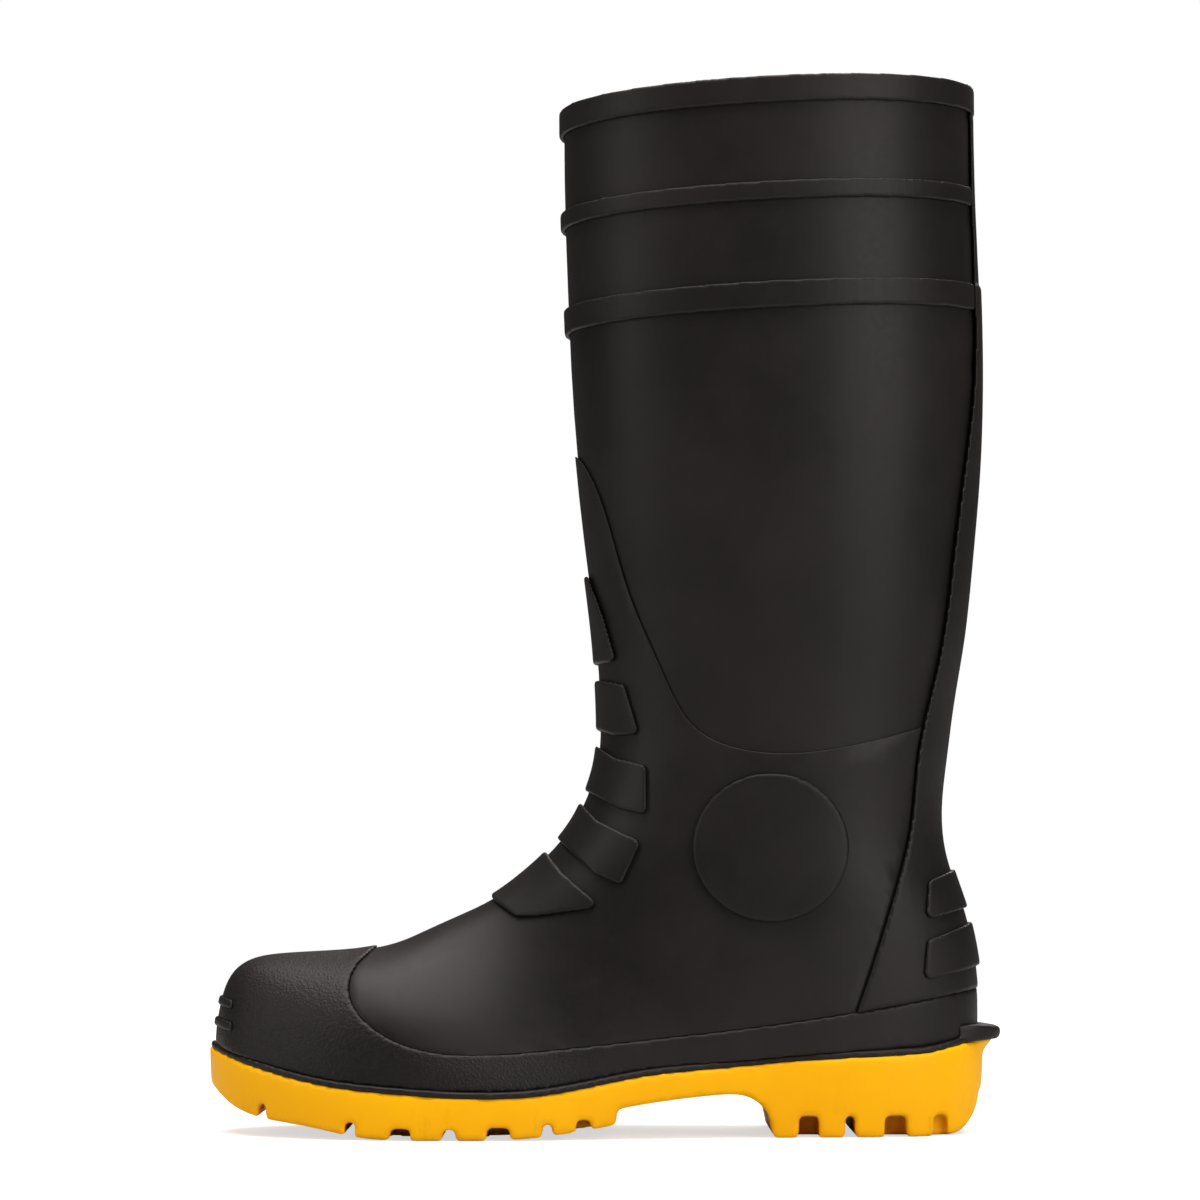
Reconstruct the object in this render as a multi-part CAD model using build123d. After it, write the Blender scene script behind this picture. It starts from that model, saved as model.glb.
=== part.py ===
"""Knee-high fire boot for the left foot, as an assembly of its separate pieces, in millimetres.

Frame: X runs along the foot with the toe at -X and the heel at +X, Y runs across it with the
outer side of the foot at -Y, and Z is up. The origin is on the ground, at the middle of the footprint.

The body of the boot is a skin through a fan of section planes. The planes are level in the leg, swing
round the front of the ankle, and stand upright in the forefoot. Every layer of the boot, from the raised
rubber trim outside to the lining inside, is the gap between two such skins, cut to its own outline.
"""

import os
from bisect import bisect
from functools import lru_cache
from math import copysign, cos, hypot, pi, radians, sin, tan
from typing import NamedTuple

from build123d import *

# Overall sizes
SOLE_TOE_X = -153.0  # front of the outsole
SOLE_HEEL_X = 146.5  # back of the outsole, without the kick-off spur
RIM_FRONT_X = -17.0  # where the height of the rim is stated
RIM_HEIGHT = 397.6  # top edge at the shin; it rises towards the calf
RIM_SLOPE = tan(radians(2.9))  # the rim and both bands rise towards the back
REACH = 200.0  # half the size of every cutting block, larger than the boot in plan
SKY = 480.0  # a height above the whole boot

# Rubber and inner layers, as growth of the skin: outwards is positive
LEG_WALL, FOOT_WALL = -2.4, -4.4  # inner face of the rubber in the leg and in the foot
LINING = 1.1  # knitted lining
CAP_OUTER, CAP_STEEL = -2.4, 1.8  # the steel cap lies in a pocket of the foot wall
COVER = 1.0  # raised cover over the foot and ankle
BAR = 2.7  # bars that stand on the cover
DISC = 3.3  # ankle discs
BAND = 1.8  # rim and bands round the leg
STAY_TOP, STAY = 1.5, 2.4  # back stay above and below the lower band
HEEL_BAR = 4.0  # bars that stand on the stay
BUMPER = 1.8  # grained toe bumper and rand
GROOVE = 0.5  # half the gap between the stay and the cover

# Scuff ribs across the front of the toe
RIB_Z = (41.6, 50.0)  # lower edges at the tip of the toe
RIB_WIDTH, RIB_HEIGHT, RIB_END_X = 3.0, 0.9, -143.0
RIB_FALL = 0.22  # the ribs fall towards their ends

# Corner radii of the bars, seen from the side
SHIN_BAR_CORNER, HEEL_BAR_CORNER = 2.0, 2.4

# Removable footbed
FOOTBED_GAP = 3.4  # clear space all round it
FOOTBED_FLOAT = 0.3  # clear space under it

# Layers under the foot, as heights above the feather line, where the upper meets the sole
WELT_TOP = 2.2
UPPER_FLOOR = 4.6
PLATE_TOP = 5.3
BOARD_TOP = 7.3
LINING_FLOOR = BOARD_TOP + LINING
FOAM_TOP = 12.4
CLOTH_TOP = 13.2

# Bands round the leg: height of the lower edge at the shin, and width of the band
RIM_BAND = (387.7, RIM_HEIGHT - 387.7)
UPPER_BAND = (350.6, 6.8)
LOWER_BAND = (309.4, 10.0)


class Station(NamedTuple):
    """One section of the skin, seen from the side as a straight line from the front to the back."""

    front: tuple  # X and Z on the shin, instep or toe line
    back: tuple  # X and Z on the calf, heel or under-foot line
    outer: float  # width from the middle plane to the outer side of the foot
    inner: float  # width to the inner side
    fullness: float = 2.1  # exponent of the section's oval: 2 is an ellipse, more is squarer


STATIONS = [
    # leg, from above the rim down to the ankle
    Station((-16.0, 500), (143.3, 500), 57.5, 57.5),
    Station((-16.0, 465), (143.3, 465), 57.5, 57.5),
    Station((-16.0, 430), (143.3, 430), 57.5, 57.5),
    Station((-15.9, 395), (143.3, 395), 57.4, 57.4),
    Station((-15.5, 360), (143.9, 360), 57.1, 57.1),
    Station((-14.3, 325), (145.2, 325), 56.6, 56.6),
    Station((-12.7, 290), (145.6, 290), 55.5, 55.5),
    Station((-9.9, 255), (144.3, 255), 53.5, 53.5),
    Station((-5.9, 220), (141.2, 220), 50.5, 50.5),
    Station((-2.3, 190), (137.8, 190), 47.2, 47.2),
    Station((-0.7, 165), (133.6, 165), 44.6, 44.6),
    Station((-1.2, 145), (130.6, 143), 42.8, 42.8, 2.15),
    # round the ankle and the heel
    Station((-4.6, 132), (128.7, 124), 41.6, 41.6, 2.2),
    Station((-9.5, 121), (130.4, 106), 41.2, 40.8, 2.2),
    Station((-17.6, 109.8), (137.1, 85), 41.0, 40.0, 2.25),
    Station((-28.0, 99.7), (142.0, 60), 40.8, 38.6, 2.3),
    Station((-41.0, 89.8), (140.9, 26), 41.0, 36.8, 2.3),
    Station((-51.5, 84.2), (127, -6), 41.3, 35.3, 2.3),
    Station((-61.0, 80.0), (98, -28), 42.8, 34.4, 2.3),
    # forefoot
    Station((-71.0, 75.4), (55, -38), 46.5, 35.5, 2.3),
    Station((-81.0, 71.4), (8, -41), 52.0, 40.0, 2.3),
    Station((-91.0, 69.2), (-40, -40), 54.6, 42.6, 2.3),
    Station((-100.5, 68.0), (-85, -36), 50.4, 40.8, 2.35),
    Station((-112.0, 67.3), (-112, -32), 43.7, 36.3, 2.4),
    # closing over the toe
    Station((-126.0, 66.4), (-126, -30), 35.7, 31.1, 2.5),
    Station((-136.0, 64.5), (-136, -26), 28.2, 25.8, 2.5),
    Station((-142.2, 60.4), (-142.5, -20), 21.1, 19.9, 2.5),
    Station((-145.6, 54.0), (-145.8, -12), 14.0, 14.0, 2.5),
    Station((-147.8, 45.0), (-147.8, -2), 7.5, 7.5, 2.4),
    Station((-148.5, 37.0), (-148.5, 8), 3.5, 3.5, 2.2),
]
SECTION_POINTS = 12  # on each side
FINE_STEPS = 240  # for measuring along a section
SEAM_LEAN = 0.02  # slope of the section at the mould seam, down the front and the back
SMALLEST_HALF_WIDTH = 7.0  # a section narrower than this is left off the end of an inner skin

# Feather line from toe to heel: the top of the outsole, seen from the side
FEATHER = [
    (-160, 35.6), (-152, 32.2), (-131, 25.6), (-107, 20.2), (-76, 17.0), (-42, 15.4),
    (-20, 17.0), (14, 23.2), (45, 26.2), (75, 28.8), (98, 30.0), (112, 30.7),
    (124, 31.6), (137, 34.4), (148, 35.8), (160, 35.8),
]  # fmt: skip

# Outline of the outsole at its top edge: X, outer side and inner side of the foot
SOLE_PLAN = [
    (-147, -17.5, 17.5), (-136, -31.5, 29), (-118, -44.5, 38), (-92, -55, 45),
    (-62, -59.3, 47.8), (-32, -57.5, 44.6), (0, -50.8, 38.6), (35, -44.6, 35.0),
    (70, -41, 35.4), (100, -39.4, 36.4), (124, -33.4, 32.5), (139, -20.7, 20.3),
]  # fmt: skip
SOLE_DRAFT = 3.2  # the outsole is this much smaller all round at the ground

# Kick-off spur behind the heel, in plan
SPUR_TIP_X, SPUR_MIDDLE_X, SPUR_HALF_WIDTH = 153.4, 132.5, 22.0

# Underside of the outsole, seen from the side
BALL_FLAT = (-78.0, -44.0)  # the stretch of the forefoot that stands on the ground
HEEL_BREAST_X, HEEL_FLAT_END_X = 64.0, 128.0
FORE_LUG, HEEL_LUG = 4.2, 8.0  # depth of the tread


def unit(dx, dz):
    length = hypot(dx, dz)
    return dx / length, dz / length


def moved_out(points, growths, turn):
    """A side-view line moved outwards at each point. turn is 1 for the front line and -1 for the back."""
    moved = []
    for i, (x, z) in enumerate(points):
        before, after = points[max(i - 1, 0)], points[min(i + 1, len(points) - 1)]
        dx, dz = unit(after[0] - before[0], after[1] - before[1])
        moved.append((x + turn * dz * growths[i], z - turn * dx * growths[i]))
    return moved


def foot_share(station):
    """0 in the leg and 1 in the foot, with an even change over the ankle."""
    ankle_top, ankle_bottom = 150.0, 100.0
    share = (ankle_top - station.front[1]) / (ankle_top - ankle_bottom)
    return min(max(share, 0.0), 1.0)


def oval(angle, fullness):
    """A point of the unit oval: along the section from front to back, and across it."""
    power = 2 / fullness
    return copysign(abs(cos(angle)) ** power, cos(angle)), abs(sin(angle)) ** power


def half_section(front, back, width, fullness):
    """Half the outline of a section, from front to back. A negative width puts it on the outer side.

    Its points are evenly spaced along the outline, so that the outlines of all sections match up.
    """
    middle = Vector((front[0] + back[0]) / 2, 0, (front[1] + back[1]) / 2)
    reach = Vector(front[0], 0, front[1]) - middle
    sideways = Vector(0, copysign(1, width), 0)

    def at(angle):
        lengthwise, across = oval(angle, fullness)
        return middle + reach * lengthwise + sideways * (abs(width) * across)

    fine = [at(pi * i / FINE_STEPS) for i in range(FINE_STEPS + 1)]
    travelled = [0.0]
    for p, q in zip(fine, fine[1:]):
        travelled.append(travelled[-1] + (q - p).length)
    total = travelled[-1]
    even = [i / SECTION_POINTS for i in range(SECTION_POINTS + 1)]
    points = []
    for share in even:
        i = min(max(bisect(travelled, share * total) - 1, 0), FINE_STEPS - 1)
        part = (share * total - travelled[i]) / (travelled[i + 1] - travelled[i])
        points.append(fine[i] + (fine[i + 1] - fine[i]) * part)
    lean = reach.normalized() * SEAM_LEAN
    ends = [(sideways - lean) * total, (-sideways - lean) * total]
    return Edge.make_spline(points, tangents=ends, parameters=even, scale=False)


@lru_cache(maxsize=None)
def skin(leg_growth, foot_growth=None):
    """The solid inside the boot's skin, grown by one amount in the leg and one in the foot."""
    foot_growth = leg_growth if foot_growth is None else foot_growth
    growths = [leg_growth + (foot_growth - leg_growth) * foot_share(s) for s in STATIONS]
    fronts = moved_out([s.front for s in STATIONS], growths, 1)
    backs = moved_out([s.back for s in STATIONS], growths, -1)
    sections = []
    for s, growth, front, back in zip(STATIONS, growths, fronts, backs):
        if growth >= 0 or s.inner + growth >= SMALLEST_HALF_WIDTH:
            outer = half_section(front, back, -(s.outer + growth), s.fullness)
            inner = half_section(front, back, s.inner + growth, s.fullness)
            sections.append(Wire([outer, inner]))
    return Part() + Solid.make_loft(sections)


def side_block(outline, sides="both"):
    """A block with an outline drawn in the side view. It runs right across the boot, or through one side."""
    face = Plane.XZ * outline
    if sides == "both":
        return extrude(face, amount=REACH, both=True)
    return extrude(face, amount=REACH if sides == "outer" else -REACH)


def polygon(*points):
    return make_face(Polyline(*points, close=True))


def beyond(line, *corners):
    """The region of the side view between a line and the far corners it is closed with."""
    return make_face([line, Polyline(line @ 1, *corners, line @ 0)])


def above_feather(height):
    """Everything over the feather line raised by height, in the side view."""
    line = Spline(*[(x, z + height) for x, z in FEATHER])
    return beyond(line, (FEATHER[-1][0], SKY), (FEATHER[0][0], SKY))


def between_feathers(low, high):
    return above_feather(low) - above_feather(high)


def band_region(height, width):
    """The side view of the space between two parallel planes that rise towards the back."""

    def at(x, z):
        return (x, z + RIM_SLOPE * (x - RIM_FRONT_X))

    top = height + width
    return polygon(at(-REACH, height), at(REACH, height), at(REACH, top), at(-REACH, top))


def behind_stay_line(shift=0.0):
    """Everything behind the front edge of the back stay."""
    points = [
        (142.3, 440), (142.4, 370), (143.2, 330), (143.0, 290), (138.6, 255), (134.2, 222),
        (128.0, 180), (120.0, 145), (117.0, 118), (110.2, 92), (94.0, 44), (78, 10),
    ]  # fmt: skip
    line = Spline(*[(x + shift, z) for x, z in points])
    return beyond(line, (REACH, 10), (REACH, 440))


def cover_region():
    """Everything below the line that swings from the shin down under the calf to the stay."""
    line = Spline(
        (-40, 275), (-11.0, 261.5), (-4.0, 249.0), (8.0, 210.2), (22.0, 175.9), (34.6, 154.7),
        (59, 145.5), (92.6, 147.8), (124, 156.2), (150, 165.6),
    )  # fmt: skip
    return beyond(line, (150, -REACH), (-REACH, -REACH), (-REACH, 275))


def bumper_region():
    """The toe bumper and the rand: ahead of the vamp, and below a line back to the heel."""
    line = Spline(
        (-82, 90), (-86.6, 72.6), (-95.6, 63.0), (-96.8, 54.3), (-87, 41.2), (-66, 32.7),
        (-31, 32.0), (10, 36.0), (76, 43.9), (144, 55.4), (170, 60.0),
    )  # fmt: skip
    return beyond(line, (170, -REACH), (-REACH, -REACH), (-REACH, 90))


def rounded(outline, radius):
    """A polygon with its corners rounded."""
    shape = polygon(*outline)
    return fillet(shape.vertices(), radius)


def rib_region():
    """The scuff ribs: two bands that fall from the tip of the toe towards their ends."""
    front = -REACH
    rise = RIB_FALL * (SOLE_TOE_X - front)
    fall = RIB_FALL * (RIB_END_X - SOLE_TOE_X)
    lower, upper = [
        polygon(
            (front, z + rise), (RIB_END_X, z - fall),
            (RIB_END_X, z - fall + RIB_WIDTH), (front, z + rise + RIB_WIDTH),
        )
        for z in RIB_Z
    ]  # fmt: skip
    return lower + upper


def sole_outline(inset, height):
    """The outsole's outline in plan, drawn in by inset, as a face at the given height."""
    middle_x = (SOLE_TOE_X + SOLE_HEEL_X) / 2
    half_length = (SOLE_HEEL_X - SOLE_TOE_X) / 2
    drawn_in = 1 - inset / half_length

    def at(x, y):
        return (middle_x + (x - middle_x) * drawn_in, y - copysign(inset, y), height)

    outer = [at(x, y) for x, y, _ in SOLE_PLAN]
    inner = [at(x, y) for x, _, y in reversed(SOLE_PLAN)]
    tip = (SOLE_TOE_X + inset, 0, height)
    heel = (SOLE_HEEL_X - inset, 0, height)
    return Face(Wire([Edge.make_spline([Vector(*p) for p in (tip, *outer, heel, *inner)], periodic=True)]))


def tread_region():
    """Side view of the outsole's underside, from the toe, over the ball and the arch, to the heel."""
    toe = Spline((-165, 30), (-150.5, 17.0), (-144, 12.0), (-114, 4.8), (BALL_FLAT[0], 0),
                 tangents=[(0.6, -1), (1, 0)])  # fmt: skip
    ball = Line((BALL_FLAT[0], 0), (BALL_FLAT[1], 0))
    arch = Spline((BALL_FLAT[1], 0), (-12, 2.6), (4, 5.4), tangents=[(1, 0), (1, 0.22)])
    arch_front = Line((4, 5.4), (4.6, 11.0))
    waist = Spline((4.6, 11.0), (18, 13.4), (43, 16.2), (56, 14.6), (HEEL_BREAST_X - 1.2, 6.0),
                   tangents=[(1, 0.25), (0.12, -1)])  # fmt: skip
    breast = Line((HEEL_BREAST_X - 1.2, 6.0), (HEEL_BREAST_X, 0))
    heel = Line((HEEL_BREAST_X, 0), (HEEL_FLAT_END_X, 0))
    bevel = Spline((HEEL_FLAT_END_X, 0), (136.6, 1.6), (142.6, 9.0), (165, 26), tangents=[(1, 0), (1, 0.3)])
    lid = Polyline((165, 26), (165, 80), (-165, 80), (-165, 30))
    return make_face([toe, ball, arch, arch_front, waist, breast, heel, bevel, lid])


def channel(x_low, x_high, depth, y_low=-REACH, y_high=REACH, base=0.0):
    """A cross channel of the tread, with its bottom corners rounded."""
    block = Box(x_high - x_low, y_high - y_low, 2 * depth)
    block = fillet(block.edges().filter_by(Axis.Y).group_by(Axis.Z)[-1], min(1.4, (x_high - x_low) / 4))
    return Pos((x_low + x_high) / 2, (y_low + y_high) / 2, base) * block


def tread_cuts():
    """Everything cut out of the underside: narrow channels right across, and wide notches in each edge."""
    cuts = []
    # forefoot: X from, X to, height of the ground line there, and right across or not
    for x_low, x_high, base, across in [
        (-131.5, -128.5, 8.6, True),
        (-97.8, -93.6, 2.3, True),
        (-80.6, -72.6, 0.2, False),
        (-60.8, -55.8, 0.0, True),
        (-44.4, -35.4, 0.5, False),
        (-23.6, -19.6, 1.6, True),
        (-11.0, -5.2, 3.2, False),
    ]:
        if across:
            cuts.append(channel(x_low, x_high, FORE_LUG, base=base))
        else:
            cuts.append(channel(x_low, x_high, FORE_LUG, -REACH, -34, base))
            cuts.append(channel(x_low, x_high, FORE_LUG, 32, REACH, base))
    for x_low, x_high, across in [
        (73.4, 81.4, False),
        (91.0, 95.0, True),
        (106.0, 114.6, False),
        (125.0, 130.6, False),
    ]:
        if across:
            cuts.append(channel(x_low, x_high, HEEL_LUG))
        else:
            cuts.append(channel(x_low, x_high, HEEL_LUG, -REACH, -22))
            cuts.append(channel(x_low, x_high, HEEL_LUG, 22, REACH))
    # lengthwise grooves between the edge lugs and the middle bars
    for y in (-30, 28):
        cuts.append(Pos(-60, y, 0) * Box(110, 4, 2 * FORE_LUG))
    for y in (-18, 18):
        cuts.append(Pos(96, y, 0) * Box(58, 4, 2 * HEEL_LUG))
    return cuts


HEEL_FILLER_SIZE = (52.0, 42.0, 16.0)
HEEL_FILLER_AT = (96.0, -0.5, 20.0)


def heel_filler():
    block = Pos(*HEEL_FILLER_AT) * Box(*HEEL_FILLER_SIZE)
    return fillet(block.edges().filter_by(Axis.Z), 8)


def kick_spur():
    """The spur behind the heel: a half oval in plan, flat on top, with its tip rounded off below."""
    plan = Ellipse(SPUR_TIP_X - SPUR_MIDDLE_X, SPUR_HALF_WIDTH)
    block = extrude(Pos(SPUR_MIDDLE_X, 0, 0) * plan, amount=80)
    side = above_feather(0) & polygon(
        (118, 20), (149.6, 34.0), (152.6, 36.6), (153.4, 38.6), (152.4, 40.4), (143, 41.4), (118, 41.4)
    )
    return (block & side_block(side)) - skin(BUMPER)


def outsole():
    """The yellow tread unit, with its lugs, its arch and the pocket for the heel filler."""
    block = loft([sole_outline(SOLE_DRAFT, -6), sole_outline(0, 34), sole_outline(0, 44)])
    sole = block & side_block(tread_region() - above_feather(0))
    for cut in tread_cuts():
        sole -= cut
    flare = [(26.0, 14.5, 15.5), (31.0, 16.2, 16.5), (35.5, 19.8, 18.5), (40.0, 24.5, 20.5)]
    under_spur = loft([Pos(SOLE_HEEL_X - 16, 0, z) * Ellipse(length, width) for z, length, width in flare])
    sole += under_spur - side_block(above_feather(0))
    return sole - heel_filler()


def midsole_welt():
    """The black plate between the upper and the outsole. Its edge is the welt, and its back the spur."""
    plate = extrude(sole_outline(0.4, 0), amount=80) & side_block(between_feathers(0, WELT_TOP))
    return plate + kick_spur()


def on_skin(region, growth, base, sides="both"):
    """A raised piece: what lies between two skins inside a region of the side view."""
    return (skin(growth) & side_block(region, sides)) - skin(base)


def upper_parts():
    """The moulded upper and the pieces inside its walls."""
    rim = band_region(RIM_HEIGHT, REACH)
    floor = above_feather(UPPER_FLOOR)
    room = skin(LEG_WALL, FOOT_WALL) & side_block(floor)
    shell = (skin(0) & side_block(above_feather(WELT_TOP) - rim)) - room
    cap_region = floor & polygon((-REACH, -10), (-88, -10), (-97, 80), (-REACH, 80))
    strip_region = floor & polygon((-88, -10), (-84, -10), (-93, 80), (-97, 80))
    steel_cap = on_skin(cap_region, CAP_OUTER, CAP_OUTER - CAP_STEEL)
    edge_strip = on_skin(strip_region, CAP_OUTER, CAP_OUTER - CAP_STEEL)
    return {
        "upper_shell": shell - steel_cap - edge_strip,
        "steel_toe_cap": steel_cap,
        "toe_cap_edge_strip": edge_strip,
    }


def lining():
    """The knitted sock that lines the leg and the foot."""
    region = above_feather(BOARD_TOP) - band_region(RIM_HEIGHT - 1.5, REACH)
    inside = skin(LEG_WALL - LINING, FOOT_WALL - LINING) & side_block(above_feather(LINING_FLOOR))
    return (skin(LEG_WALL, FOOT_WALL) & side_block(region)) - inside


def floor_parts():
    """What lies under the foot: the steel plate, the board, and the removable footbed."""
    room = skin(LEG_WALL, FOOT_WALL - 0.2)
    footbed = skin(LEG_WALL - LINING - FOOTBED_GAP, FOOT_WALL - LINING - FOOTBED_GAP)
    plate = skin(LEG_WALL, FOOT_WALL - 1.5)
    return {
        "steel_midsole_plate": plate & side_block(between_feathers(UPPER_FLOOR, PLATE_TOP)),
        "insole_board": room & side_block(between_feathers(PLATE_TOP, BOARD_TOP)),
        "footbed_foam": footbed & side_block(between_feathers(LINING_FLOOR + FOOTBED_FLOAT, FOAM_TOP)),
        "footbed_cloth": footbed & side_block(between_feathers(FOAM_TOP, CLOTH_TOP)),
    }


SHIN_BARS = {
    "shin_bar_1": [(-40, 222), (-6.6, 214.6), (-0.6, 197.5), (4.2, 180.6), (-40, 181)],
    "shin_bar_2": [(-40, 176), (-3, 174), (7.2, 171.6), (12.8, 152.6), (4, 152.4), (-4, 155.8), (-40, 160)],
    "shin_bar_3": [
        (-40, 162), (-3, 148.4), (4, 143.4), (15.4, 140.6), (15.6, 122), (6, 124), (-6, 131), (-40, 146),
    ],
    "instep_bar_4": [
        (-40, 158), (-8.6, 125.6), (-3, 119.6), (13.4, 111.6), (6, 95.2), (-4, 99.5), (-18, 112.8), (-50, 142),
    ],
    "instep_bar_5": [
        (-50, 140), (-22, 106.2), (-16, 99.4), (-2.6, 88), (-6.6, 86.2), (-24.8, 83.6), (-34, 83.2),
        (-42.4, 89), (-70, 120),
    ],
}  # fmt: skip
HEEL_BARS = {
    "heel_bar_upper": [(122.6, 82), (170, 94), (170, 113), (124, 96.6)],
    "heel_bar_lower": [(121.6, 59), (170, 70), (170, 90), (123.2, 74)],
}


def trim_parts():
    """The raised rubber outside the upper."""
    parts = {}
    above_welt = above_feather(WELT_TOP)
    bumper = bumper_region()
    above_rand = above_welt - bumper

    parts["rim_band"] = on_skin(band_region(*RIM_BAND), BAND, 0)
    parts["leg_band_upper"] = on_skin(band_region(*UPPER_BAND) - behind_stay_line(), BAND, 0)
    parts["leg_band_lower"] = on_skin(band_region(*LOWER_BAND) - behind_stay_line(), BAND, 0)

    stay = behind_stay_line(GROOVE) & above_rand
    step = sum(LOWER_BAND)
    stay_top = on_skin(stay & band_region(step, RIM_BAND[0] - step), STAY_TOP, 0)
    stay_low = on_skin(stay - band_region(step, REACH), STAY, 0)
    parts["back_stay"] = stay_top + stay_low

    cover = (cover_region() & above_rand) - behind_stay_line(-GROOVE)
    parts["foot_cover"] = on_skin(cover, COVER, 0)
    for name, outline in SHIN_BARS.items():
        parts[name] = on_skin(rounded(outline, SHIN_BAR_CORNER), BAR, COVER)
    disc = Pos(63, 109.4) * Ellipse(29.6, 28.0)
    parts["ankle_disc_outer"] = on_skin(disc, DISC, COVER, "outer")
    parts["ankle_disc_inner"] = on_skin(disc, DISC, COVER, "inner")
    for name, outline in HEEL_BARS.items():
        parts[name] = on_skin(rounded(outline, HEEL_BAR_CORNER), HEEL_BAR, STAY)
    parts["toe_bumper"] = on_skin(bumper & above_welt, BUMPER, 0)
    parts["toe_scuff_ribs"] = on_skin(rib_region(), BUMPER + RIB_HEIGHT, BUMPER)
    return parts


def main():
    parts = {
        **upper_parts(),
        "lining": lining(),
        **floor_parts(),
        **trim_parts(),
        "outsole": outsole(),
        "midsole_welt": midsole_welt(),
        "heel_filler": heel_filler(),
    }
    os.makedirs("parts", exist_ok=True)
    for name, shape in parts.items():
        print(name, round(shape.volume), len(shape.solids()), shape.is_valid, flush=True)
        export_step(shape, f"parts/{name}.step")


main()
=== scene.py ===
"""The looks of a knee-high fire boot: moulded black rubber, a grained toe, a yellow lugged sole,
a knitted lining and a loose footbed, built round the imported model. Lengths are in metres."""

import bmesh
import bpy
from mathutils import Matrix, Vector


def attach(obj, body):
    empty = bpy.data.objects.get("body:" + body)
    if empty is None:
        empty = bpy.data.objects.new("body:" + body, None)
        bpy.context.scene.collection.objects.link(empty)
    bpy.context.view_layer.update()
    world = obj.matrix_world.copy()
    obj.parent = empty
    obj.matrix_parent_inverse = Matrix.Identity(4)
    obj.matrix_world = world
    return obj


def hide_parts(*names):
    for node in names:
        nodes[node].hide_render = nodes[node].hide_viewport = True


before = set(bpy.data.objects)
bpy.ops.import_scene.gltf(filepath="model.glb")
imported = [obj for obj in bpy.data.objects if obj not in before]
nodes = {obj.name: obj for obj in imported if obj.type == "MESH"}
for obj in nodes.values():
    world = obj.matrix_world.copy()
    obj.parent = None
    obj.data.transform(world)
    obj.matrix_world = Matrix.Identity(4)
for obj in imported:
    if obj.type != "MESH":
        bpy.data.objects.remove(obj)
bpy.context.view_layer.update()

MM = 0.001


# ---------------------------------------------------------------- shader maths


class Signal:
    """A number or colour on its way through a finish. Sums on it add Math nodes."""

    def __init__(self, finish, socket):
        self.finish = finish
        self.socket = socket

    def maths(self, operation, other):
        return self.finish.node("ShaderNodeMath", {"operation": operation}, {0: self, 1: other})

    def __add__(self, other):
        return self.maths("ADD", other)

    def __sub__(self, other):
        return self.maths("SUBTRACT", other)

    def __mul__(self, other):
        return self.maths("MULTIPLY", other)


class Finish:
    """One material, with its shader and the few node patterns that the finishes share."""

    def __init__(self, name, slot, **constants):
        self.slot = slot
        self.material = bpy.data.materials.new(name)
        self.material.use_nodes = True
        self.tree = self.material.node_tree
        self.shader = self.tree.nodes["Principled BSDF"]
        for socket, value in constants.items():
            self.shader.inputs[label(socket)].default_value = value
        self.place = self.node("ShaderNodeTexCoord", output="Object")

    def node(self, kind, settings=None, inputs=None, output=0):
        """Adds a node, sets it up and joins its inputs to signals or fixed values."""
        made = self.tree.nodes.new(kind)
        for key, value in (settings or {}).items():
            setattr(made, key, value)
        for key, value in (inputs or {}).items():
            if isinstance(value, Signal):
                self.tree.links.new(value.socket, made.inputs[key])
            else:
                made.inputs[key].default_value = value
        return Signal(self, made.outputs[output])

    def noise(self, scale, detail=3.0, roughness=0.55, stretch=(1, 1, 1)):
        where = self.node("ShaderNodeMapping", None, {"Vector": self.place, "Scale": stretch})
        sockets = {"Vector": where, "Scale": scale, "Detail": detail, "Roughness": roughness}
        return self.node("ShaderNodeTexNoise", None, sockets)

    def wave(self, direction, pitch):
        """Slightly uneven rows across one direction, about 0.6 of the pitch apart."""
        sockets = {
            "Vector": self.place,
            "Scale": 0.5 / pitch,
            "Distortion": 1.2,
            "Detail": 2.0,
            "Detail Scale": 2.0,
        }
        return self.node("ShaderNodeTexWave", {"bands_direction": direction}, sockets)

    def ramp(self, value, start, end):
        """Runs from one (value, tone) stop to the other, and stays level beyond them."""
        made = self.node("ShaderNodeValToRGB", None, {"Fac": value})
        for element, (position, tone) in zip(made.socket.node.color_ramp.elements, (start, end)):
            element.position = position
            element.color = opaque(tone)
        return made

    def blend(self, share, a, b):
        settings = {"data_type": "RGBA", "blend_type": "MIX"}
        return self.node("ShaderNodeMix", settings, {0: share, 6: a, 7: b}, output=2)

    def axis(self, letter):
        return self.node("ShaderNodeSeparateXYZ", None, {0: self.place}, output=letter)

    def pointiness(self, start, end):
        pointed = self.node("ShaderNodeNewGeometry", output="Pointiness")
        return self.ramp(pointed, start, end)

    def edge_wear_and_highlight_share(self):
        """1 on raised edges, where rubber is rubbed smooth and a painted highlight lightens it, and 0 on
        flats.
        """
        return self.pointiness((0.51, 0.0), (0.58, 1.0))

    def corner_dirt_and_shade_share(self):
        """1 in inside corners, where dirt stays and shade is painted, and 0 on flats."""
        return self.pointiness((0.42, 1.0), (0.495, 0.0))

    def bump(self, height, distance, strength, over=None):
        sockets = {"Height": height, "Distance": distance, "Strength": strength}
        if over is not None:
            sockets["Normal"] = over
        return self.node("ShaderNodeBump", None, sockets)

    def feed(self, **signals):
        for socket, signal in signals.items():
            self.tree.links.new(signal.socket, self.shader.inputs[label(socket)])
        return self


def label(socket):
    """The shader's own name of a socket, such as Base Color for base_color."""
    return socket.replace("_", " ").title().replace("Ior", "IOR")


def opaque(tone):
    """A full colour from one grey number or three colour numbers."""
    return (tone, tone, tone, 1.0) if isinstance(tone, (int, float)) else (*tone, 1.0)


def darker(tone, share):
    return tuple(share * part for part in tone)


# ---------------------------------------------------------------- finishes

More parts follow.
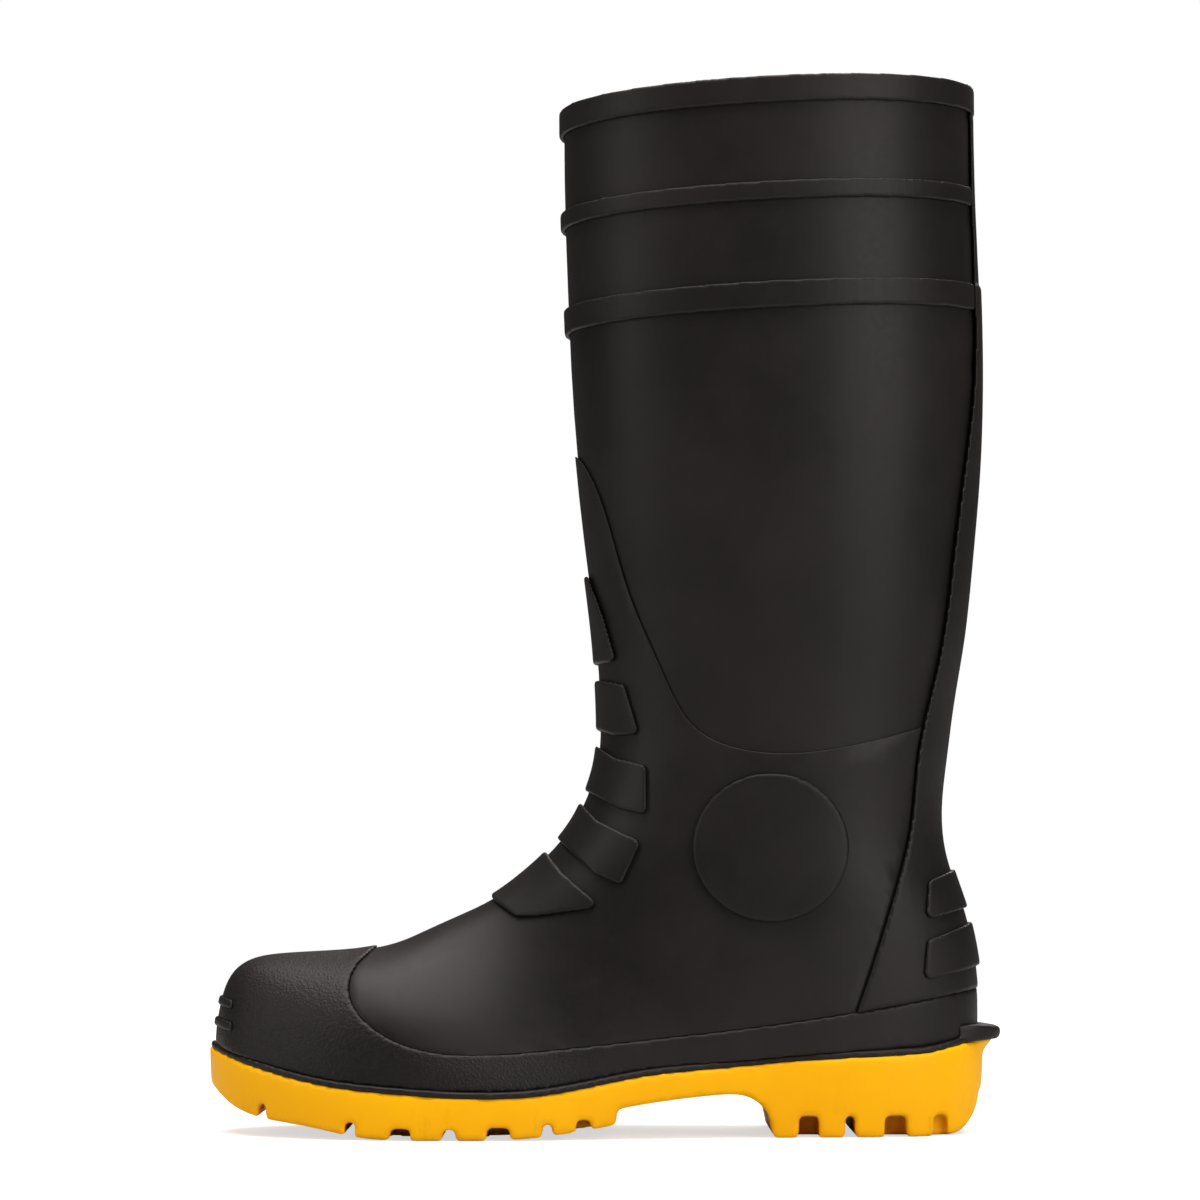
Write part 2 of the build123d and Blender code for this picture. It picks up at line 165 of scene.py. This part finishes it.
BLACK = (0.0068, 0.0058, 0.0055)
BLACK_WORN = (0.018, 0.0152, 0.0146)
BLACK_DUST = (0.042, 0.038, 0.035)
YELLOW = (0.97, 0.490, 0.0006)
YELLOW_DEEP = (0.90, 0.405, 0.0006)
YELLOW_GRIME_AND_SHADE = (0.20, 0.085, 0.010)

# Dust on the black lies thickest up to the first height and is thin from the second one up.
DUST_THICK_Z, DUST_THIN_Z = 0.030, 0.160
# Dirt on the yellow and the painted shade in its corners thin out up to this height, and the yellow's
# deeper tone fades between these two.
GRIME_AND_SHADE_TOP_Z = 0.014
DEEP_LOW_Z, DEEP_HIGH_Z = 0.002, 0.020

# The leather grain is full forward of the first place along the boot and gone behind the second.
GRAIN_FULL_X, GRAIN_GONE_X = -0.050, 0.015
GRAIN_CELLS = 900.0
GRAIN_DEPTH = 0.0002
WARP_CELLS = 300.0
WARP_LENGTH = 0.0012

KNIT_PITCH = 0.0011
CLOTH_PITCH = 0.0008


def rubber_surface(finish, swell, fine):
    """The slow unevenness and fine pores of a moulded face. Each is noise scale, depth, strength."""
    swell_scale, swell_depth, swell_strength = swell
    fine_scale, fine_depth, fine_strength = fine
    normal = finish.bump(finish.noise(swell_scale, 2), swell_depth, swell_strength)
    return finish.bump(finish.noise(fine_scale, 2, 0.6), fine_depth, fine_strength, normal)


def leather_grain(finish):
    """Small uneven pebbles that die out behind the toe: 1 on their tops and 0 between them."""
    wander = finish.node(
        "ShaderNodeTexNoise", None, {"Vector": finish.place, "Scale": WARP_CELLS}, output=1
    )
    shift = finish.node(
        "ShaderNodeVectorMath", {"operation": "SCALE"}, {0: wander, "Scale": WARP_LENGTH}
    )
    warped = finish.node("ShaderNodeVectorMath", {"operation": "ADD"}, {0: finish.place, 1: shift})
    pebbles = finish.node(
        "ShaderNodeTexVoronoi",
        {"feature": "SMOOTH_F1"},
        {"Vector": warped, "Scale": GRAIN_CELLS, "Smoothness": 0.35},
    )
    # A ramp takes values from 0 to 1, so the places along the boot are scaled into that range.
    gain, shift_up = 4, 0.6
    full = GRAIN_FULL_X * gain + shift_up
    gone = GRAIN_GONE_X * gain + shift_up
    along = finish.axis("X") * gain + shift_up
    return finish.ramp(pebbles, (0.05, 1.0), (0.62, 0.0)) * finish.ramp(along, (full, 1.0), (gone, 0.0))


def black_rubber(name="satin_black_rubber", slot="black_rubber", grain=False):
    """Moulded black rubber: satin, a little uneven, rubbed on its edges and lightened there by a painted
    highlight, with a breath of dust.
    """
    finish = Finish(name, slot, ior=1.48, specular_ior_level=0.2)
    cloudy = finish.noise(14, 4)
    specks = finish.noise(420, 2, 0.7)
    worn = finish.ramp(cloudy, (0.35, 0.0), (0.7, 0.55))
    colour = finish.blend(worn, opaque(BLACK), opaque(BLACK_WORN))
    # Raised edges are lighter: partly rubbed wear, partly a painted highlight where the edges catch the
    # light.
    colour = finish.blend(finish.edge_wear_and_highlight_share() * 0.45, colour, opaque(BLACK_WORN))
    low = finish.ramp(finish.axis("Z"), (DUST_THICK_Z, 1.0), (DUST_THIN_Z, 0.0))
    patches = finish.ramp(finish.noise(70, 5, 0.65), (0.55, 0.0), (0.85, 1.0))
    colour = finish.blend(patches * (low * 0.10 + 0.03), colour, opaque(BLACK_DUST))
    roughness = finish.ramp(cloudy, (0.3, 0.40), (0.7, 0.48))
    roughness = roughness + finish.ramp(specks, (0.4, 0.0), (0.7, 0.05))
    roughness = roughness - finish.edge_wear_and_highlight_share() * 0.05
    normal = rubber_surface(finish, swell=(22, 0.0006, 0.35), fine=(1500, 0.00005, 0.35))
    if grain:
        relief = leather_grain(finish)
        normal = finish.bump(relief, GRAIN_DEPTH, 0.6, normal)
        colour = finish.blend(relief * 0.2, colour, opaque(BLACK_WORN))
    return finish.feed(base_color=colour, roughness=roughness, normal=normal)


def yellow_rubber():
    """Moulded yellow rubber: satin, deeper in patches, with dirt near the ground and dirt with painted
    shade in its corners.
    """
    finish = Finish("satin_yellow_rubber", "yellow_rubber", ior=1.47, specular_ior_level=0.12)
    patches = finish.ramp(finish.noise(18, 4), (0.35, 0.0), (0.75, 0.7))
    colour = finish.blend(patches, opaque(YELLOW), opaque(YELLOW_DEEP))
    height = finish.axis("Z")
    low = finish.ramp(height, (0.0, 1.0), (GRIME_AND_SHADE_TOP_Z, 0.0))
    deep = finish.ramp(height, (DEEP_LOW_Z, 0.35), (DEEP_HIGH_Z, 0.0))
    colour = finish.blend(deep, colour, opaque(YELLOW_DEEP))
    scuffs = finish.ramp(finish.noise(160, 6, 0.7, (1, 1, 0.35)), (0.56, 0.0), (0.72, 1.0))
    colour = finish.blend(scuffs * (low * 0.30 + 0.04), colour, opaque(YELLOW_GRIME_AND_SHADE))
    # Inside corners are darkened: partly dirt, partly painted shade where the recesses fall into shadow.
    colour = finish.blend(finish.corner_dirt_and_shade_share() * (low * 0.5 + 0.15), colour, opaque(YELLOW_GRIME_AND_SHADE))
    roughness = finish.ramp(finish.noise(60, 3), (0.3, 0.42), (0.7, 0.52)) + scuffs * 0.08
    normal = rubber_surface(finish, swell=(30, 0.0005, 0.3), fine=(1300, 0.00005, 0.4))
    return finish.feed(base_color=colour, roughness=roughness, normal=normal)


def knitted(name, slot, light, dark, pitch):
    """A fine knitted or brushed cloth: rows of small loops, with a soft sheen."""
    finish = Finish(name, slot, roughness=0.9, sheen_weight=0.35, sheen_roughness=0.5)
    loops = finish.wave("Z", pitch) * finish.wave("X", pitch)
    fuzz = finish.noise(900, 3)
    colour = finish.blend(loops * 0.7 + finish.noise(20) * 0.3, opaque(dark), opaque(light))
    normal = finish.bump(loops + fuzz * 0.4, 0.00035, 0.6)
    return finish.feed(base_color=colour, normal=normal)


def sheet_steel(name, slot, tone, roughness, metallic=1.0):
    """Pressed steel under a thin coat or oil, with faint rolling lines."""
    finish = Finish(name, slot, metallic=metallic)
    lines = finish.noise(40, 4, 0.6, (1, 14, 14))
    colour = finish.blend(lines, opaque(darker(tone, 0.8)), opaque(tone))
    rough = finish.ramp(lines, (0.3, roughness), (0.8, roughness + 0.12))
    return finish.feed(base_color=colour, roughness=rough, normal=finish.bump(lines, 0.00004, 0.4))


def board():
    """Pressed fibre board."""
    finish = Finish("fibre_board", "board", roughness=0.85)
    fibres = finish.noise(260, 6, 0.75, (0.5, 1, 1))
    colour = finish.blend(fibres, opaque((0.30, 0.21, 0.12)), opaque((0.55, 0.42, 0.27)))
    return finish.feed(base_color=colour, normal=finish.bump(fibres, 0.0001, 0.5))


def foam(name, slot, tone):
    """Closed-cell foam, soft strip or a dull moulded core: fine pores."""
    finish = Finish(name, slot, roughness=0.8)
    sockets = {"Vector": finish.place, "Scale": 1100.0}
    pores = finish.node("ShaderNodeTexVoronoi", {"feature": "F1"}, sockets)
    colour = finish.blend(pores, opaque(darker(tone, 0.6)), opaque(tone))
    return finish.feed(base_color=colour, normal=finish.bump(pores, 0.0002, 0.5))


RUBBER = black_rubber()
GRAINED = black_rubber("grained_black_rubber", "grained_rubber", grain=True)
YELLOW_RUBBER = yellow_rubber()
KNIT = knitted("knitted_lining", "knit_lining", (0.36, 0.35, 0.33), (0.15, 0.145, 0.14), KNIT_PITCH)
CLOTH = knitted("brushed_cloth", "footbed_cloth", (0.075, 0.075, 0.08), (0.03, 0.03, 0.033), CLOTH_PITCH)
FOAM = foam("closed_cell_foam", "footbed_foam", (0.16, 0.17, 0.19))
CORE = foam("dark_core", "filler_plastic", (0.12, 0.12, 0.12))
STRIP = foam("soft_strip", "strip_rubber", (0.05, 0.05, 0.05))
CAP_STEEL = sheet_steel("coated_cap_steel", "toe_cap_steel", (0.10, 0.11, 0.12), 0.45, 0.3)
PLATE_STEEL = sheet_steel("rolled_plate_steel", "plate_steel", (0.56, 0.57, 0.58), 0.3)
BOARD = board()


# ---------------------------------------------------------------- pieces

SAME_POINT = 0.00001
CREASE_ANGLE = 0.8


def dress(piece, finish):
    """Gives a piece one finish all over."""
    piece.data.materials.clear()
    piece.data.materials.append(finish.material)


def keep(name, finish):
    """A CAD node that is right as it is, with a better finish."""
    for place in nodes[name].material_slots:
        place.material = finish.material
    return nodes[name]


def ease_edges(piece, width):
    """Joins a CAD node's loose faces and rounds its sharp edges a little. The width is in mm."""
    join = piece.modifiers.new("join", "WELD")
    join.merge_threshold = 0.02 * MM
    edges = piece.modifiers.new("edges", "BEVEL")
    edges.width = width * MM
    edges.segments = 2
    edges.limit_method = "ANGLE"
    edges.angle_limit = CREASE_ANGLE
    edges.use_clamp_overlap = False
    edges.harden_normals = True


def copy_of(name):
    """A CAD node's shape as a new piece, with its loose faces joined."""
    mesh = nodes[name].data.copy()
    piece = bpy.data.objects.new(f"{name}_moulded", mesh)
    bpy.context.scene.collection.objects.link(piece)
    shape = bmesh.new()
    shape.from_mesh(mesh)
    bmesh.ops.remove_doubles(shape, verts=shape.verts, dist=SAME_POINT)
    bmesh.ops.dissolve_degenerate(shape, edges=shape.edges, dist=SAME_POINT)
    shape.to_mesh(mesh)
    shape.free()
    return piece


def settle(piece):
    """Applies every modifier of a piece."""
    bpy.context.view_layer.update()
    shaped = piece.evaluated_get(bpy.context.evaluated_depsgraph_get())
    mesh = bpy.data.meshes.new_from_object(shaped)
    piece.modifiers.clear()
    piece.data = mesh
    mesh.polygons.foreach_set("use_smooth", [True] * len(mesh.polygons))


def soften(name, finish, grid, swell, rounds, body="boot"):
    """A moulded piece: the CAD solid on an even grid, swollen a little to make up for the smoothing
    that rounds its edges and corners. The grid and the swell are in mm."""
    piece = copy_of(name)
    even = piece.modifiers.new("even", "REMESH")
    even.mode = "VOXEL"
    even.voxel_size = grid * MM
    plump = piece.modifiers.new("plump", "DISPLACE")
    plump.mid_level = 0.0
    plump.strength = swell * MM
    ease = piece.modifiers.new("ease", "SMOOTH")
    ease.factor = 0.5
    ease.iterations = rounds
    settle(piece)
    dress(piece, finish)
    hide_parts(name)
    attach(piece, body)
    return piece


keep("upper_shell", RUBBER)
ease_edges(keep("foot_cover", RUBBER), 0.45)
keep("lining", KNIT)
keep("steel_toe_cap", CAP_STEEL)
keep("toe_cap_edge_strip", STRIP)
keep("steel_midsole_plate", PLATE_STEEL)
keep("insole_board", BOARD)
keep("heel_filler", CORE)
foam_bed = soften("footbed_foam", FOAM, 1.0, 0.0, 3, "footbed")
cloth_top = soften("footbed_cloth", CLOTH, 0.7, 0.0, 1, "footbed")

for name in ("rim_band", "leg_band_upper", "leg_band_lower"):
    soften(name, RUBBER, 0.6, 0.2, 5)
for name in ("shin_bar_1", "shin_bar_2", "shin_bar_3", "instep_bar_4", "instep_bar_5"):
    soften(name, RUBBER, 0.55, 0.25, 8)
for name in ("ankle_disc_outer", "ankle_disc_inner"):
    soften(name, RUBBER, 0.6, 0.3, 16)
for name in ("heel_bar_upper", "heel_bar_lower"):
    soften(name, RUBBER, 0.5, 0.25, 8)
soften("back_stay", RUBBER, 0.75, 0.2, 5)
soften("toe_bumper", GRAINED, 0.8, 0.2, 5)
soften("toe_scuff_ribs", GRAINED, 0.45, 0.3, 5)
soften("midsole_welt", RUBBER, 0.8, 0.2, 5)
soften("outsole", YELLOW_RUBBER, 1.1, 0.2, 5)


# ---------------------------------------------------------------- stage

FLOOR_HALF_SIDE = 1.3
FLOOR_Z = -0.0003
FLOOR_GLOW = 0.62
ROOM_REFLECTED = 0.07
ROOM_SEEN = 1.0
LAMP_TINT = (1.0, 0.95, 0.93)
CAMERA_AT = (-0.0018, -1.590, 0.110)
CAMERA_AIM = (-0.0018, 0.0, 0.2059)
CAMERA_LENS = 122.3


def face(thing, at, towards):
    """Puts a lamp or camera in its place and points it at another."""
    thing.location = at
    thing.rotation_euler = (Vector(towards) - Vector(at)).to_track_quat("-Z", "Y").to_euler()
    bpy.context.scene.collection.objects.link(thing)


def stage_sheet():
    """A pale floor that fades into the white room behind it."""
    shape = bmesh.new()
    bmesh.ops.create_grid(shape, x_segments=1, y_segments=1, size=FLOOR_HALF_SIDE)
    mesh = bpy.data.meshes.new("floor")
    shape.to_mesh(mesh)
    shape.free()
    floor = bpy.data.objects.new("floor", mesh)
    floor.location.z = FLOOR_Z
    bpy.context.scene.collection.objects.link(floor)
    finish = Finish("pale_floor", None, base_color=opaque(0.5), roughness=0.7, emission_strength=1.0)
    seen = finish.node("ShaderNodeLightPath", output="Is Camera Ray")
    glow = finish.blend(seen, opaque(0.0), opaque(FLOOR_GLOW))
    dress(floor, finish.feed(emission_color=glow))


def white_room():
    """A white room that is bright to look at and dim in reflections."""
    world = bpy.data.worlds.new("studio")
    bpy.context.scene.world = world
    world.use_nodes = True
    tree = world.node_tree
    reflected = tree.nodes["Background"]
    seen = tree.nodes.new("ShaderNodeBackground")
    rays = tree.nodes.new("ShaderNodeLightPath")
    either = tree.nodes.new("ShaderNodeMixShader")
    for background, strength in ((reflected, ROOM_REFLECTED), (seen, ROOM_SEEN)):
        background.inputs["Color"].default_value = opaque(1)
        background.inputs["Strength"].default_value = strength
    tree.links.new(rays.outputs["Is Camera Ray"], either.inputs[0])
    tree.links.new(reflected.outputs[0], either.inputs[1])
    tree.links.new(seen.outputs[0], either.inputs[2])
    tree.links.new(either.outputs[0], tree.nodes["World Output"].inputs["Surface"])


def softbox(name, at, towards, width, height, power):
    light = bpy.data.lights.new(name, "AREA")
    light.shape = "RECTANGLE"
    light.size, light.size_y = width, height
    light.energy = power
    light.color = LAMP_TINT
    face(bpy.data.objects.new(name, light), at, towards)


def studio():
    """The room, four softboxes and the camera."""
    scene = bpy.context.scene
    scene.view_settings.view_transform = "Standard"
    white_room()
    softbox("top", (0.0, -0.1, 2.2), (0.0, 0, 0.0), 2.4, 2.4, 102)
    softbox("right", (1.35, -1.45, 0.75), (0.05, 0, 0.2), 1.2, 1.5, 24)
    softbox("left", (-1.7, -0.75, 0.8), (-0.02, 0, 0.15), 0.6, 1.3, 9)
    softbox("back", (0.5, 2.0, 1.5), (0.03, 0, 0.2), 1.2, 1.2, 14)

    camera = bpy.data.cameras.new("camera")
    camera.sensor_width = 36.0
    camera.lens = CAMERA_LENS
    eye = bpy.data.objects.new("camera", camera)
    face(eye, CAMERA_AT, CAMERA_AIM)
    scene.camera = eye


stage_sheet()
studio()
